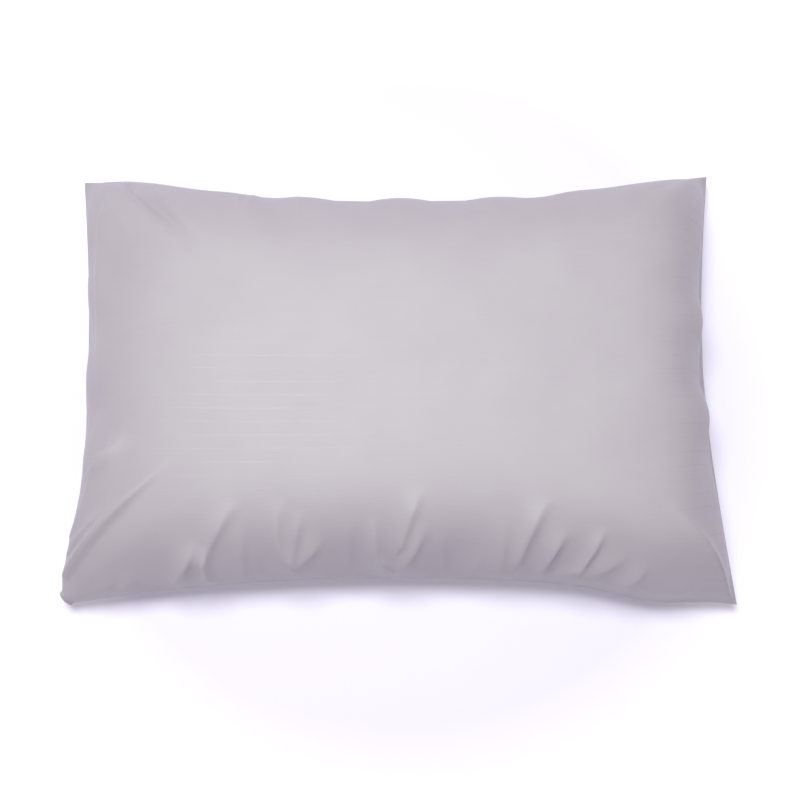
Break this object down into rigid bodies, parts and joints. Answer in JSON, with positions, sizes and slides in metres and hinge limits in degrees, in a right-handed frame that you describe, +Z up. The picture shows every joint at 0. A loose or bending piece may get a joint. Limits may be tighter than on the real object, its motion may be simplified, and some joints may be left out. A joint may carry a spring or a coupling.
{
  "type": "bed pillow",
  "caption": "Rectangular bed pillow: a piped, fibre-filled ticking insert inside a striped sateen pillowcase whose tuck flap holds it in at the open end.",
  "frame": {"origin": "centre of the face that the pillow rests on", "axes": "+X along the pillow to the closed end of the case, so its open mouth is at -X; +Y across; +Z up"},
  "size_m": [0.74, 0.492, 0.165],
  "materials": {
    "sateen": "satin",
    "ticking": "matte",
    "fibre": "matte",
    "label_tape": "satin"
  },
  "bodies": {
    "pillowcase": {"case_front_panel": "sateen", "case_back_panel": "sateen", "case_tuck_flap": "sateen", "case_mouth_hem": "sateen", "case_flap_hem": "sateen", "case_side_seam_near": "sateen", "case_side_seam_far": "sateen", "case_end_seam": "sateen", "case_mouth_seam": "sateen", "case_care_label": "label_tape"},
    "insert": {"ticking_top_panel": "ticking", "ticking_bottom_panel": "ticking", "ticking_piping": "ticking", "fibre_fill": "fibre", "insert_care_label": "label_tape"}
  },
  "joints": [
    {"name": "insert_slide", "type": "slide", "parent": "pillowcase", "child": "insert", "axis": [-1, 0, 0], "range_m": [0, 0.8], "deforming": ["case_front_panel", "case_back_panel", "case_tuck_flap", "case_mouth_hem", "case_flap_hem", "case_side_seam_near", "case_side_seam_far", "case_mouth_seam"]}
  ]
}
